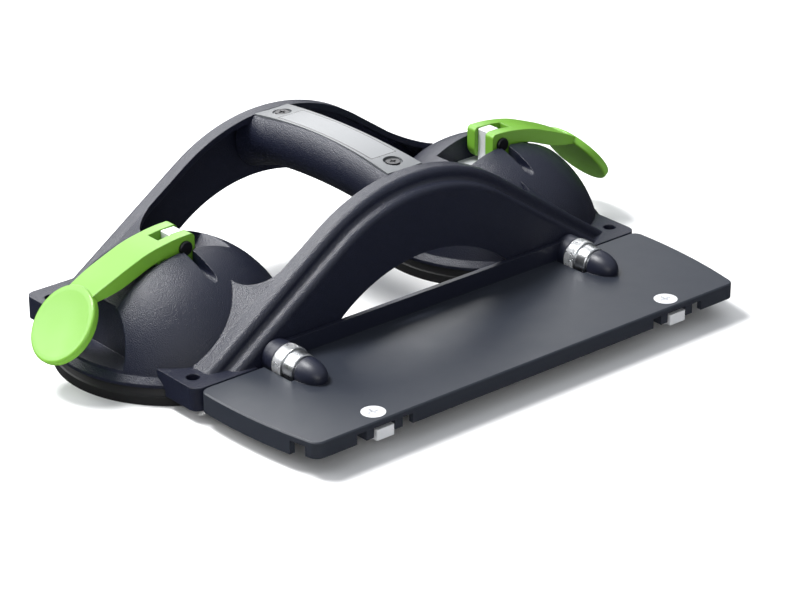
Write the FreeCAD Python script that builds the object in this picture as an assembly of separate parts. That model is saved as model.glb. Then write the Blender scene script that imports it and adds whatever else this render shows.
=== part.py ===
"""Two-cup suction lifter with a guide-rail adapter plate.

Millimetres, +Z up. X runs through both cups, +Y points to the back, and the
adapter plate hangs on the front. Everything is drawn with the grip over the
origin and moved along Y at export, so that the origin lies under the middle
of the whole device on the surface it stands on.
"""

import FreeCAD, Part
import math
import os

from FreeCAD import Vector

# ---- cups ----
cup_x = 102.2               # centre of each cup from the middle of the grip
pad_radius = 60.0
pad_rim_height = 4.6        # upright outer edge of the rubber lip
pad_shoulder_z = 9.3        # where the housing ring bears on the rubber
pad_lip_width = 6.0
pad_hollow_height = 7.5     # middle of the vacuum side, pad pulled up
pad_top_z = 17.0
pad_hub_radius = 23.0
core_radius = 21.0
core_thickness = 3.0

# ---- housing domes ----
ring_overhang = 0.4         # the ring stands out past the rubber
ring_step = 1.1             # and past the dome
ring_width = 5.8
ring_radius = pad_radius + ring_overhang
ring_inner_radius = ring_radius - ring_width
dome_radius = ring_radius - ring_step
dome_centre_z = -0.6
dome_wall = 3.2
dome_base_z = 13.8
ring_top_z = 10.8
seam_gap = 0.15             # between each dome and the arches round it
floor_thickness = 4.0
slot_wall = 2.8
guide_boss_radius = 9.0
guide_boss_length = 11.7
niche_radius = 26.8         # round-arched finger niche under the paddle
niche_depth = 17.8          # its flat back, in from the dome's side
niche_axis_z = 15.3         # springing of its arch, and its open foot
niche_foot_wall = 2.6       # wall below the foot, clear of the rubber

# ---- cam lever ----
pin_depth = 0.7             # pin axis below the dome's crown
pin_z = round(dome_centre_z + dome_radius - pin_depth, 6)
pin_radius = 2.5
pin_head_radius = 3.7
pin_head_clearance = 0.4
pin_head_thickness = 1.5
clip_radius = 3.9
clip_thickness = 1.0
running_clearance = 0.05
side_clearance = 0.2
cam_height = 13.0           # pin centre to the cam's lowest line when clamped
cam_gap = 0.3
cam_lift = 7.0
lever_opening = 90.0        # degrees
fork_half_width = 10.0
fork_gap = 8.0
fork_window_end = 11.2
neck_x = 53.0
neck_half_width = 9.3
paddle_radius = 20.0
paddle_slope = 50.6
paddle_thickness = 4.2
paddle_centre_x = 65.5
paddle_centre_drop = 23.2
dish_depth = 0.7
saddle_thickness = 3.0
saddle_half_length = 12.0
slot_side_gap = 1.8
slot_outer_end = 14.5
slot_toe = 13.0             # where the ramp at the slot's inner end begins
slot_end = 26.5
ramp_rise = 0.77            # of the ramp, for each millimetre along it
drift_groove_radius = 2.5
drift_groove_drop = 7.4     # its round bottom's axis below the pin
floor_z = pin_z - cam_height - cam_gap - saddle_thickness   # top of the floor under the saddle

# ---- pull stud ----
shank_radius = 6.0
shank_top_z = floor_z - 1.2
tongue_length = 8.0
tongue_width = 7.4
tongue_top_z = pin_z + 6.0
guide_clearance = 0.08
spring_radius = 12.5
spring_wire = 1.8
spring_turns = 3.5

# ---- arches ----
flank_slope = 34.5          # degrees
flank_peak_z = 106.21       # where the two straight flanks would cross
crown_radius = 98.0         # rounds that corner off
crown_z = flank_peak_z - crown_radius * (1 / math.cos(math.radians(flank_slope)) - 1)
band_inner_y = 52.3
band_flat = 5.7             # flat top of the band, then shoulder, cove and edge down to the wall
shoulder_width = 4.0
shoulder_drop = 3.3
cove_width = 2.4
cove_drop = 2.9
edge_width = 3.6
edge_drop = 3.4
band_skirt = 4.9
wall_outer_y = band_inner_y + band_flat + shoulder_width + cove_width + edge_width
wall_thickness = 3.2
wall_top_depth = 12.0       # the wall's top edge, inside the band's skirt
frame_bottom_z = 8.6
window_radius = 83.0
window_top_z = crown_z - 39.3
band_end_x = 131.0
web_start_x = 77.5
web_cusp = (8.7, 34.6)      # tip of the gusset, inwards of the cup's centre and out from the middle
web_waist = (9.1, 4.5)
web_rise = 0.305
web_thickness = 3.6

# ---- ears ----
ear_start_x = 106.0
ear_x = 142.6
ear_y = 70.0
ear_top_z = 17.9
ear_bottom_z = 6.1
ear_inner_y = 36.9
ear_hole_x = 134.9
ear_hole_y = 58.15
ear_hole_radius = 3.3
pad_clearance = 1.6

# ---- grip ----
grip_radius = 15.4
grip_axis_z = crown_z - 9.0
grip_root_reach = 7.0       # how far each end runs in under the band
grip_flare = 2.5
grip_flare_length = 18.0
grip_flare_sink = 0.3       # its thin end starts under the grip's surface
cover_top_z = crown_z + 3.5
cover_bow_radius = 372.0
cover_thickness = 2.6
cover_end_half_width = 10.8
cover_mid_half_width = 9.2
cover_gap = 0.1
cover_screw_y = 43.3
cover_screw_radius = 3.6
cover_screw_shank = 1.6
cover_screw_head = 1.0
cover_screw_length = 14.0
cover_sink_radius = 4.9
cover_sink_depth = 1.2
label_half_width = 7.9
label_half_length = 36.5
label_depth = 0.5

# ---- adapter plate ----
plate_top_z = 18.06
plate_depth = 10.1
plate_skin = 3.0
plate_wall = 2.6
plate_back_y = 71.0
plate_front_y = 148.2
plate_back_half = 141.0
plate_end_bow_y = 105.0
plate_end_bow_half = 140.5
plate_front_half = 133.6
plate_corner = 5.0
plate_front_lift = 2.0      # the skirt is shallower along the front
plate_notch = (132.6, 141.5)
plate_notch_top_z = 15.0
frame_gap = 0.3
upstand_top_z = 26.8
knob_x = 93.8
knob_z = 20.0
sleeve_radius = 8.7
sleeve_length = 5.0
wheel_play = 0.1
wheel_length = 14.9
knurl_radius = 9.2
knurl_length = 9.0
groove_width = 0.6
groove_depth = 0.9
collar_radius = 8.7
collar_end_radius = 8.3
nose_radius = 7.6
nose_length = 13.0
nose_gap = 0.6
stud_radius = 3.0
stud_reach = 5.0            # into the threaded insert
stud_travel = 4.0
stud_bore_clearance = 0.25
insert_radius = 4.0
insert_length = 8.0
insert_boss_radius = 6.5
trough_radius = 9.8
trough_wall = 2.2
rail_screw_x = 93.9
rail_screw_y = 139.8
rail_head_radius = 5.9
rail_head_depth = 2.8
rail_shank_radius = 2.5
jaw_half_width = 5.2
jaw_thickness = 5.4
jaw_top_z = 13.6
jaw_front_y = 148.6
jaw_tail = 6.5              # behind the screw
jaw_gap_half = 16.5
jaw_travel = 3.0
lug_start = 6.3             # guide lugs either side of each jaw
lug_width = 4.4
lug_depth = 7.5
rib_thickness = 2.2
rib_spacing = 34.0
rib_rows = (96.0, 121.0)

tall = 200.0                # longer than any piece, for cutters
shift_y = (jaw_front_y - ear_y) / 2.0   # puts the origin under the middle


# ---------------------------------------------------------------- helpers
def polygon(points):
    return Part.Face(Part.makePolygon([Vector(*p) for p in points] + [Vector(*points[0])]))


def box(x0, x1, y0, y1, z0, z1):
    return Part.makeBox(x1 - x0, y1 - y0, z1 - z0, Vector(x0, y0, z0))


def rod_z(x, y, z0, z1, radius):
    return Part.makeCylinder(radius, z1 - z0, Vector(x, y, z0))


def rod_y(x, z, y0, y1, radius):
    return Part.makeCylinder(radius, y1 - y0, Vector(x, y0, z), Vector(0, 1, 0))


def revolve_z(profile, x=0.0, y=0.0):
    """Turns a closed (radius, z) outline about the vertical through (x, y)."""
    face = polygon([(r, 0, z) for r, z in profile])
    solid = face.revolve(Vector(0, 0, 0), Vector(0, 0, 1), 360)
    solid.translate(Vector(x, y, 0))
    return solid


def flip(shape, x=False, y=False):
    result = shape.copy()
    if x:
        result = result.mirror(Vector(0, 0, 0), Vector(1, 0, 0))
    if y:
        result = result.mirror(Vector(0, 0, 0), Vector(0, 1, 0))
    return result


def fuse(shapes):
    result = shapes[0].fuse(shapes[1:]) if len(shapes) > 1 else shapes[0]
    return result.removeSplitter()


def arc(a, middle, b):
    return Part.Arc(Vector(*a), Vector(*middle), Vector(*b)).toShape()


def line(a, b):
    return Part.LineSegment(Vector(*a), Vector(*b)).toShape()


def face_of(edges):
    return Part.Face(Part.Wire(Part.__sortEdges__(edges)))


# ---------------------------------------------------------------- arch line
flank = math.radians(flank_slope)
arch_centre_z = crown_z - crown_radius


def arch_point(x, depth=0.0):
    """Point of the arch line at x (x >= 0), moved inwards by depth along its normal."""
    foot_x = crown_radius * math.sin(flank)
    if x <= foot_x:
        angle = math.asin(x / crown_radius)
        reach = crown_radius - depth
        return reach * math.sin(angle), arch_centre_z + reach * math.cos(angle)
    run = (x - foot_x) / math.cos(flank)
    reach = crown_radius - depth
    px = reach * math.sin(flank) + run * math.cos(flank)
    pz = arch_centre_z + reach * math.cos(flank) - run * math.sin(flank)
    return px, pz


def arch_height(x):
    return arch_point(abs(x))[1]


def band_section():
    """Cross-section of the front arch's top band at x = 0: flat, shoulder, cove, edge, then the wall's top."""
    skin = wall_thickness
    round_out = (0.707, 0.293)      # middle of a quarter round that starts level
    round_in = (0.293, 0.707)       # and of one that starts upright

    def at(y, depth):
        return (0, -y, crown_z - depth)

    def quarter(y, depth, width, drop, middle):
        return arc(at(y, depth), at(y + width * middle[0], depth + drop * middle[1]), at(y + width, depth + drop))

    shoulder_y = band_inner_y + band_flat
    cove_y = shoulder_y + shoulder_width
    edge_y = cove_y + cove_width
    cove_depth = shoulder_drop + cove_drop
    edge_depth = cove_depth + edge_drop
    foot = edge_depth + band_skirt
    return face_of([
        line(at(band_inner_y, 0), at(shoulder_y, 0)),
        quarter(shoulder_y, 0, shoulder_width, shoulder_drop, round_out),
        quarter(cove_y, shoulder_drop, cove_width, cove_drop, round_in),
        quarter(edge_y, cove_depth, edge_width, edge_drop, round_out),
        line(at(wall_outer_y, edge_depth), at(wall_outer_y, foot)),
        line(at(wall_outer_y, foot), at(wall_outer_y - skin, foot)),
        line(at(wall_outer_y - skin, foot), at(wall_outer_y - skin, edge_depth + 0.4)),
        line(at(wall_outer_y - skin, edge_depth + 0.4), at(shoulder_y + 1.6, shoulder_drop + skin + 0.9)),
        line(at(shoulder_y + 1.6, shoulder_drop + skin + 0.9), at(shoulder_y - 0.6, skin)),
        line(at(shoulder_y - 0.6, skin), at(band_inner_y, skin)),
        line(at(band_inner_y, skin), at(band_inner_y, 0)),
    ])


def half_band():
    """Right half of the band: the crown turned about its centre, then the straight flank."""
    section = band_section()
    crown = section.revolve(Vector(0, 0, arch_centre_z), Vector(0, 1, 0), flank_slope)
    end = section.copy()
    end.rotate(Vector(0, 0, arch_centre_z), Vector(0, 1, 0), flank_slope)
    run = (ear_x - crown_radius * math.sin(flank)) / math.cos(flank)
    straight = end.extrude(Vector(math.cos(flank) * run, 0, -math.sin(flank) * run))
    trimmed = straight.cut(box(band_end_x, band_end_x + tall, -tall, 0, -tall, tall))
    return crown.fuse(trimmed.cut(box(0, tall, -tall, 0, -tall, frame_bottom_z)))


def arch_wall():
    """Upright outer wall of the front arch with its round-headed window."""
    depth = wall_top_depth
    crown_foot = arch_point(crown_radius * math.sin(flank), depth)
    end_run = band_end_x - crown_foot[0]
    end_z = crown_foot[1] - end_run * math.tan(flank)
    window_centre_z = window_top_z - window_radius
    half = math.sqrt(window_radius ** 2 - (frame_bottom_z - window_centre_z) ** 2)
    y = -wall_outer_y
    top = (0, y, crown_z - depth)
    low = max(end_z, frame_bottom_z + 0.5)
    reach_x = crown_foot[0] + (crown_foot[1] - low) / math.tan(flank)
    edges = [
        arc((-crown_foot[0], y, crown_foot[1]), top, (crown_foot[0], y, crown_foot[1])),
        line((crown_foot[0], y, crown_foot[1]), (reach_x, y, low)),
        line((reach_x, y, low), (band_end_x, y, low)),
        line((band_end_x, y, low), (band_end_x, y, frame_bottom_z)),
        line((band_end_x, y, frame_bottom_z), (half, y, frame_bottom_z)),
        arc((half, y, frame_bottom_z), (0, y, window_top_z), (-half, y, frame_bottom_z)),
        line((-half, y, frame_bottom_z), (-band_end_x, y, frame_bottom_z)),
        line((-band_end_x, y, frame_bottom_z), (-band_end_x, y, low)),
        line((-band_end_x, y, low), (-reach_x, y, low)),
        line((-reach_x, y, low), (-crown_foot[0], y, crown_foot[1])),
    ]
    return face_of(edges).extrude(Vector(0, wall_thickness, 0))


def web():
    """Gusset from the front right flank up to the dome, tilted about the band's inner edge."""
    near = web_start_x
    under = 2.0                     # how far it runs in under the band
    cusp_x = cup_x - web_cusp[0]
    cusp_y = -web_cusp[1]
    outer_x = cup_x + 6.0
    foot = band_end_x - under
    plan = [
        arc((near, -band_inner_y, 0), (near + web_waist[0], -band_inner_y + web_waist[1], 0), (cusp_x, cusp_y, 0)),
        line((cusp_x, cusp_y, 0), (outer_x, cusp_y, 0)),
        line((outer_x, cusp_y, 0), (foot, -band_inner_y + 3.0, 0)),
        line((foot, -band_inner_y + 3.0, 0), (foot, -band_inner_y - under, 0)),
        line((foot, -band_inner_y - under, 0), (near, -band_inner_y - under, 0)),
        line((near, -band_inner_y - under, 0), (near, -band_inner_y, 0)),
    ]
    column = face_of(plan).extrude(Vector(0, 0, tall))
    slope = math.tan(flank)

    def skin_point(x, inward, drop):
        return Vector(x, -band_inner_y + inward,
                      arch_height(near) - (x - near) * slope + web_rise * inward - drop)

    reach = band_inner_y - web_cusp[1] + 12.0
    corners = [(near - 5, 0), (foot + 5, 0), (foot + 5, reach), (near - 5, reach)]
    top = [skin_point(x, i, 0) for x, i in corners]
    low = [skin_point(x, i, web_thickness) for x, i in corners]
    quads = [top, low[::-1]] + [[top[i], low[i], low[(i + 1) % 4], top[(i + 1) % 4]] for i in range(4)]
    faces = [Part.Face(Part.makePolygon(q + [q[0]])) for q in quads]
    slab = Part.Solid(Part.Shell(faces))
    if slab.Volume < 0:
        slab = slab.reversed()
    return slab.common(column)


# ---------------------------------------------------------------- domes
def dome_outer():
    top = dome_centre_z + dome_radius
    base_r = math.sqrt(dome_radius ** 2 - (dome_base_z - dome_centre_z) ** 2)
    half = math.radians(45)
    middle = (dome_radius * math.sin(half), dome_centre_z + dome_radius * math.cos(half))
    outline = face_of([
        arc((0, 0, top), (middle[0], 0, middle[1]), (base_r, 0, dome_base_z)),
        line((base_r, 0, dome_base_z), (ring_radius, 0, ring_top_z)),
        line((ring_radius, 0, ring_top_z), (ring_radius, 0, pad_shoulder_z)),
        line((ring_radius, 0, pad_shoulder_z), (0, 0, pad_shoulder_z)),
        line((0, 0, pad_shoulder_z), (0, 0, top)),
    ])
    return outline.revolve(Vector(0, 0, 0), Vector(0, 0, 1), 360)


def dome_cavity():
    reach = dome_radius - dome_wall
    ball = Part.makeSphere(reach, Vector(0, 0, dome_centre_z))
    keep = rod_z(0, 0, pad_shoulder_z, floor_z - floor_thickness, ring_inner_radius)
    return ball.common(keep)


def niche_cutter(extra=0.0, foot=0.0):
    """Round-arched niche with a flat back, open outwards; extra and foot thicken it into its own wall."""
    radius = niche_radius + extra
    back = dome_radius - niche_depth - extra
    arch = Part.makeCylinder(radius, tall, Vector(back, 0, niche_axis_z), Vector(1, 0, 0))
    return arch.common(box(back, tall, -radius, radius, niche_axis_z - foot, tall))


def slot_cutter():
    """Slot that the cam turns in, with its ramp, and the channel under the lever's arm."""
    half = fork_half_width + slot_side_gap
    ramp_end = slot_end + 6.0
    deep = polygon([
        (slot_outer_end, -half, floor_z), (-slot_toe, -half, floor_z),
        (-ramp_end, -half, floor_z + ramp_rise * (ramp_end - slot_toe)),
        (-ramp_end, -half, tall), (slot_outer_end, -half, tall),
    ])
    channel = polygon([
        (slot_outer_end - 1, -half, pin_z - 6.0), (26, -half, pin_z - 10.5),
        (35, -half, pin_z - 14.5), (44, -half, pin_z - 19.5), (44, -half, tall),
        (slot_outer_end - 1, -half, tall),
    ])
    width = Vector(0, 2 * half, 0)
    return deep.extrude(width).fuse(channel.extrude(width))


def pin_pocket():
    """Room for the pin's head and clip as they sink with the stud, and the drift groove."""
    radius = pin_head_radius + pin_head_clearance
    low = pin_z - cam_lift
    inner = fork_half_width
    outer = inner + side_clearance + pin_head_thickness + 1.0
    pocket = rod_y(0, low, -outer, outer, radius).fuse(box(-radius, radius, -outer, outer, low, tall))
    groove_z = pin_z - drift_groove_drop
    groove = rod_y(0, groove_z, -dome_radius, -inner, drift_groove_radius)
    groove = groove.fuse(box(-drift_groove_radius, drift_groove_radius, -dome_radius, -inner, groove_z, tall))
    return pocket.fuse(groove)


def mechanism_block():
    """Floor, slot walls and guide boss inside a dome, before the slot is cut."""
    half = fork_half_width + slot_side_gap + slot_wall
    reach = dome_radius - 0.5
    under = floor_z - floor_thickness
    walls = box(-slot_end - slot_wall, slot_outer_end + 24.5, -half, half, under, pin_z + 5)
    groove_half = drift_groove_radius + slot_wall
    groove_walls = box(-groove_half, groove_half, -42, -half + 0.5, under, pin_z)
    floor = rod_z(0, 0, under, floor_z, dome_radius)
    ball = Part.makeSphere(reach, Vector(0, 0, dome_centre_z))
    block = walls.fuse([groove_walls, floor]).common(ball)
    boss = rod_z(0, 0, floor_z - guide_boss_length, floor_z - 1, guide_boss_radius)
    return block.fuse(boss)


def upper_cavity():
    """Hollow of the dome above the floor, beside the slot walls."""
    reach = dome_radius - dome_wall
    ball = Part.makeSphere(reach, Vector(0, 0, dome_centre_z))
    return ball.common(rod_z(0, 0, floor_z, pin_z + 5, dome_radius))


def housing():
    """Right-hand cup housing about its own centre, with +X pointing outwards."""
    shell = dome_outer().cut(dome_cavity()).cut(upper_cavity())
    niche_wall = niche_cutter(dome_wall, niche_foot_wall).common(dome_outer())
    solid = shell.fuse([mechanism_block(), niche_wall])
    solid = solid.cut(niche_cutter())
    solid = solid.cut(slot_cutter())
    solid = solid.cut(pin_pocket())
    solid = solid.cut(rod_z(0, 0, 0, floor_z + 1, shank_radius + guide_clearance))
    return solid


def ear():
    """Front right ear: deep corner with an upright screw hole, clear of the pad."""
    block = box(ear_start_x, ear_x, -ear_y, -ear_inner_y, ear_bottom_z, ear_top_z)
    corners = [e for e in block.Edges
               if abs(e.Vertexes[0].X - ear_x) < 0.01
               and abs(e.Vertexes[1].X - ear_x) < 0.01
               and abs(e.Vertexes[0].Y + ear_y) < 0.01 and abs(e.Vertexes[1].Y + ear_y) < 0.01]
    block = block.makeFillet(5.0, corners)
    block = block.cut(rod_z(cup_x, 0, 0, pad_shoulder_z, pad_radius + pad_clearance))
    block = block.cut(box(0, ear_hole_x - 18, -100, 0, 0, frame_bottom_z))
    return block


# ---------------------------------------------------------------- grip
bow_centre_z = cover_top_z - cover_bow_radius


def grip_core():
    """Round grip bent to the cover's bow, running into both arch bands."""
    reach = grip_axis_z - bow_centre_z
    circle = Part.Face(Part.Wire(Part.makeCircle(grip_radius, Vector(0, 0, grip_axis_z), Vector(0, 1, 0))))
    angle = math.degrees(math.asin((band_inner_y + 3.0) / reach))
    half = circle.revolve(Vector(0, 0, bow_centre_z), Vector(1, 0, 0), angle)
    return half.fuse(flip(half, y=True))


def grip_root():
    """Flare that spreads the grip's end out under the front arch band."""
    reach = grip_axis_z - bow_centre_z
    wires = []
    for share in (1.0, 0.75, 0.45, 0.2, 0.0):
        y = band_inner_y + grip_root_reach - (1 - share) * (grip_flare_length + grip_root_reach)
        sag = reach - math.sqrt(reach ** 2 - y ** 2)
        spread = share ** 1.5
        wider = (grip_flare + grip_flare_sink) * spread - grip_flare_sink
        centre = Vector(0, -y, grip_axis_z - sag - 0.5 * grip_flare * spread)
        wires.append(Part.Wire(Part.makeCircle(grip_radius + wider, centre, Vector(0, 1, 0))))
    return Part.makeLoft(wires, True)


def bow_shell(outer, inner):
    """Long shell between two radii about the bow's centre line."""
    length = 6 * grip_radius
    big = Part.makeCylinder(outer, length, Vector(-length / 2, 0, bow_centre_z), Vector(1, 0, 0))
    small = Part.makeCylinder(inner, length, Vector(-length / 2, 0, bow_centre_z), Vector(1, 0, 0))
    return big.cut(small)


def cover_plan(gap):
    """Waisted outline of the grip cover, drawn in plan."""
    end = band_inner_y + gap
    wide = cover_end_half_width + gap
    waist = cover_mid_half_width + gap
    return face_of([
        arc((-wide, -end, 0), (-waist, 0, 0), (-wide, end, 0)),
        line((-wide, end, 0), (wide, end, 0)),
        arc((wide, end, 0), (waist, 0, 0), (wide, -end, 0)),
        line((wide, -end, 0), (-wide, -end, 0)),
    ]).extrude(Vector(0, 0, tall))


def label_plan(gap):
    return box(-label_half_width - gap, label_half_width + gap,
               -label_half_length - gap, label_half_length + gap, 0, tall)


def cover_screw_places():
    return [(0, -cover_screw_y), (0, cover_screw_y)]


# ---------------------------------------------------------------- frame
def both_sides(shape, x=0.0):
    """The shape moved to the right cup, and its mirror image at the left one."""
    right = shape.copy()
    right.translate(Vector(x, 0, 0))
    return [right, flip(right, x=True)]


def front_arch():
    """Arch, webs and ears in front of the cups, shaped to sit round both domes."""
    right = fuse([half_band(), web()])
    arch = fuse([right, flip(right, x=True), arch_wall(), ear(), flip(ear(), x=True)])
    clear = dome_outer().makeOffsetShape(seam_gap, 0.01, join=2)
    arch = arch.cut(both_sides(clear, cup_x))
    arch = arch.cut(both_sides(rod_z(0, 0, 0, pad_shoulder_z, pad_radius + pad_clearance), cup_x))
    recess = cover_recess()
    arch = arch.cut(recess)
    for side in (-1, 1):
        arch = arch.cut(rod_z(side * ear_hole_x, -ear_hole_y, 0, ear_top_z + 5, ear_hole_radius))
    return arch.removeSplitter()


def front_frame():
    """Front arch with the bosses that hold the threaded inserts of the adapter."""
    arch = front_arch()
    for side in (-1, 1):
        boss = rod_y(side * knob_x, knob_z, -wall_outer_y + 1, -wall_outer_y + insert_length, insert_boss_radius)
        dome = dome_outer().makeOffsetShape(seam_gap, 0.01, join=2)
        dome.translate(Vector(side * cup_x, 0, 0))
        arch = arch.fuse(boss.cut(dome))
        arch = arch.cut(rod_y(side * knob_x, knob_z, -wall_outer_y - 1,
                              -wall_outer_y + insert_length + 1, insert_radius))
    return arch.removeSplitter()


def cover_recess():
    shell = bow_shell(cover_bow_radius + 30, cover_bow_radius - cover_thickness)
    return cover_plan(cover_gap).common(shell)


def grip():
    """Bowed round grip with a flared root at either end, seated under the arch bands."""
    root = grip_root()
    solid = grip_core().fuse([root, flip(root, y=True)])
    solid = solid.cut(bow_shell(cover_bow_radius + 60, cover_bow_radius))
    solid = solid.cut(cover_recess())
    arch = fuse([half_band(), flip(half_band(), x=True), arch_wall(), arch_fill()])
    solid = solid.cut([arch, flip(arch, y=True)])
    for x, y in cover_screw_places():
        solid = solid.cut(rod_z(x, y, cover_top_z - 20, cover_top_z + 10,
                                cover_screw_shank + running_clearance))
    return solid.removeSplitter()


def arch_fill():
    """Everything over the underside of the band's crown, which the grip stays out of."""
    inner = rod_y(0, arch_centre_z, -wall_outer_y, -band_inner_y, crown_radius - wall_thickness)
    block = box(-60, 60, -wall_outer_y, -band_inner_y, 40, crown_z + 20)
    return block.cut(inner)


def grip_cover():
    cover = cover_plan(0).common(bow_shell(cover_bow_radius, cover_bow_radius - cover_thickness))
    seat = label_plan(cover_gap).common(bow_shell(cover_bow_radius + 5, cover_bow_radius - label_depth))
    cover = cover.cut(seat)
    for x, y in cover_screw_places():
        top = bow_centre_z + math.sqrt(cover_bow_radius ** 2 - y ** 2)
        cover = cover.cut(rod_z(x, y, top - cover_sink_depth, top + 5, cover_sink_radius))
        cover = cover.cut(rod_z(x, y, 0, top + 5, cover_screw_shank + running_clearance))
    return cover


def label_panel():
    return label_plan(0).common(bow_shell(cover_bow_radius, cover_bow_radius - label_depth))


def cross_recess(x, y, top, size, deep):
    slot = box(-size, size, -size * 0.22, size * 0.22, top - deep, top + 1)
    other = box(-size * 0.22, size * 0.22, -size, size, top - deep, top + 1)
    cutter = slot.fuse(other)
    cutter.translate(Vector(x, y, 0))
    return cutter


def cover_screws():
    screws = []
    for x, y in cover_screw_places():
        seat = bow_centre_z + math.sqrt(cover_bow_radius ** 2 - y ** 2) - cover_sink_depth
        head_top = seat + cover_screw_head
        head = rod_z(x, y, seat, head_top, cover_screw_radius)
        shank = rod_z(x, y, seat - cover_screw_length, seat, cover_screw_shank)
        recess = cross_recess(x, y, head_top, 0.55 * cover_screw_radius, 0.6 * cover_screw_head)
        screws.append(head.fuse(shank).cut(recess))
    return Part.makeCompound(screws)


# ---------------------------------------------------------------- cup pieces
def suction_pad():
    lip_inner = pad_radius - pad_lip_width
    edges = [
        line((pad_radius, 0, 0), (pad_radius, 0, pad_rim_height)),
        line((pad_radius, 0, pad_rim_height), (pad_radius - 0.7, 0, pad_rim_height + 0.6)),
        line((pad_radius - 0.7, 0, pad_rim_height + 0.6), (ring_inner_radius + 2.4, 0, pad_shoulder_z)),
        line((ring_inner_radius + 2.4, 0, pad_shoulder_z), (ring_inner_radius - 4, 0, pad_shoulder_z)),
        line((ring_inner_radius - 4, 0, pad_shoulder_z), (pad_hub_radius + 3, 0, pad_top_z - 2)),
        line((pad_hub_radius + 3, 0, pad_top_z - 2), (pad_hub_radius, 0, pad_top_z)),
        line((pad_hub_radius, 0, pad_top_z), (0, 0, pad_top_z)),
        line((0, 0, pad_top_z), (0, 0, pad_hollow_height)),
        arc((0, 0, pad_hollow_height), (lip_inner * 0.55, 0, pad_hollow_height * 0.74), (lip_inner, 0, 0)),
        line((lip_inner, 0, 0), (pad_radius, 0, 0)),
    ]
    return face_of(edges).revolve(Vector(0, 0, 0), Vector(0, 0, 1), 360)


def pad_core():
    top = pad_top_z + core_thickness
    return revolve_z([(0, pad_top_z), (core_radius, pad_top_z), (core_radius, top - 0.8),
                      (core_radius - 0.8, top), (0, top)])


def pull_stud():
    bottom = pad_top_z + core_thickness
    shank = rod_z(0, 0, bottom, shank_top_z, shank_radius)
    tongue = box(-tongue_length / 2, tongue_length / 2, -tongue_width / 2, tongue_width / 2,
                 shank_top_z, tongue_top_z)
    upper = [e for e in tongue.Edges if all(v.Z > tongue_top_z - 0.01 for v in e.Vertexes)]
    tongue = tongue.makeChamfer(0.6, upper)
    stud = shank.fuse(tongue)
    return stud.cut(rod_y(0, pin_z, -20, 20, pin_radius + 0.02))


def cam_saddle():
    half_y = fork_half_width + slot_side_gap - 0.2
    plate = box(-saddle_half_length, saddle_half_length, -half_y, half_y,
                floor_z, floor_z + saddle_thickness)
    corners = [e for e in plate.Edges if abs(e.Vertexes[0].Z - e.Vertexes[1].Z) > 1]
    plate = plate.makeFillet(1.5, corners)
    hole = box(-tongue_length / 2 - 0.3, tongue_length / 2 + 0.3,
               -tongue_width / 2 - 0.3, tongue_width / 2 + 0.3, 0, 100)
    return plate.cut(hole)


def return_spring():
    top = floor_z - floor_thickness
    bottom = pad_top_z + core_thickness
    wire_r = spring_wire / 2
    height = top - bottom - spring_wire
    helix = Part.makeHelix(height / spring_turns, height, spring_radius)
    helix.translate(Vector(0, 0, bottom + wire_r))
    start = Vector(spring_radius, 0, bottom + wire_r)
    profile = Part.Wire(Part.makeCircle(wire_r, start, Vector(0, 1, 0)))
    return Part.Wire(helix).makePipeShell([profile], True, True)


def cam_contour(steps=9):
    """Support curve of the cam: its height falls evenly with the turn, so the stud sinks evenly."""
    rate = cam_lift / math.radians(lever_opening)
    points = []
    for i in range(steps + 1):
        turn = math.radians(lever_opening) * i / steps
        angle = math.radians(-90) - turn
        height = cam_height - rate * turn
        x = height * math.cos(angle) - rate * math.sin(angle)
        z = height * math.sin(angle) + rate * math.cos(angle)
        points.append(Vector(x, 0, pin_z + z))
    return points


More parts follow.
